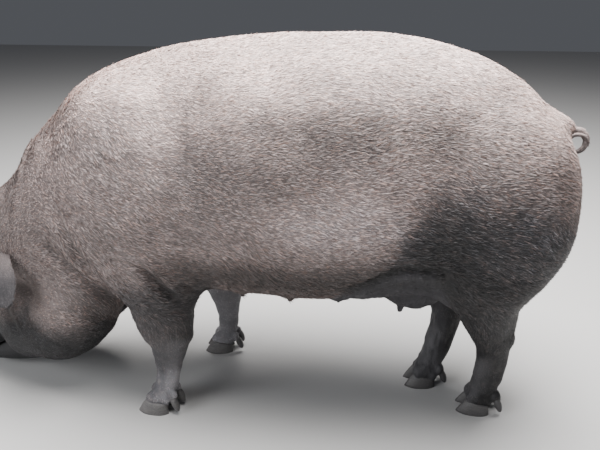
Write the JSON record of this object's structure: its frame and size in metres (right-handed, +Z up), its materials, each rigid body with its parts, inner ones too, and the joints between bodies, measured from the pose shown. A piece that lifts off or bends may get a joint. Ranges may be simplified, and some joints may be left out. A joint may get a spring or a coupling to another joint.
{
  "type": "standing sow animal model",
  "caption": "Life-size still model of a heavy sow feeding with her head down: arched back, deep jowls, drooping ears, curled tail, cloven feet.",
  "frame": {"origin": "middle of the bounding box on the floor under the sow", "axes": "+Z up; +X toward the rump, so the sow faces -X; +Y toward her right side"},
  "size_m": [1.6369, 0.5523, 0.922],
  "materials": {
    "hide": "short bristly hide, matt",
    "muddy_hide": "hide under dark mud, matt",
    "dusty_hide": "bare shank with pale dust, matt",
    "snout": "bare moist skin, satin",
    "udder": "bare wrinkled skin, satin",
    "horn": "dusty horn, satin",
    "eye": "wet, glossy"
  },
  "bodies": {
    "root": {"claw_fl_inner": "horn", "claw_fl_outer": "horn", "claw_fr_inner": "horn", "claw_fr_outer": "horn", "claw_hl_inner": "horn", "claw_hl_outer": "horn", "claw_hr_inner": "horn", "claw_hr_outer": "horn", "dewclaw_fl_inner": "horn", "dewclaw_fl_outer": "horn", "dewclaw_fr_inner": "horn", "dewclaw_fr_outer": "horn", "dewclaw_hl_inner": "horn", "dewclaw_hl_outer": "horn", "dewclaw_hr_inner": "horn", "dewclaw_hr_outer": "horn", "ear_left": "hide", "ear_right": "hide", "eye_left": "eye", "eye_right": "eye", "foreleg_left_lower": "dusty_hide", "foreleg_left_upper": "hide", "foreleg_right_lower": "dusty_hide", "foreleg_right_upper": "hide", "head": "hide", "hindleg_left_lower": "muddy_hide", "hindleg_left_upper": "muddy_hide", "hindleg_right_lower": "muddy_hide", "hindleg_right_upper": "muddy_hide", "neck": "hide", "snout": "snout", "tail": "hide", "torso": "hide", "udder": "udder"}
  },
  "joints": []
}
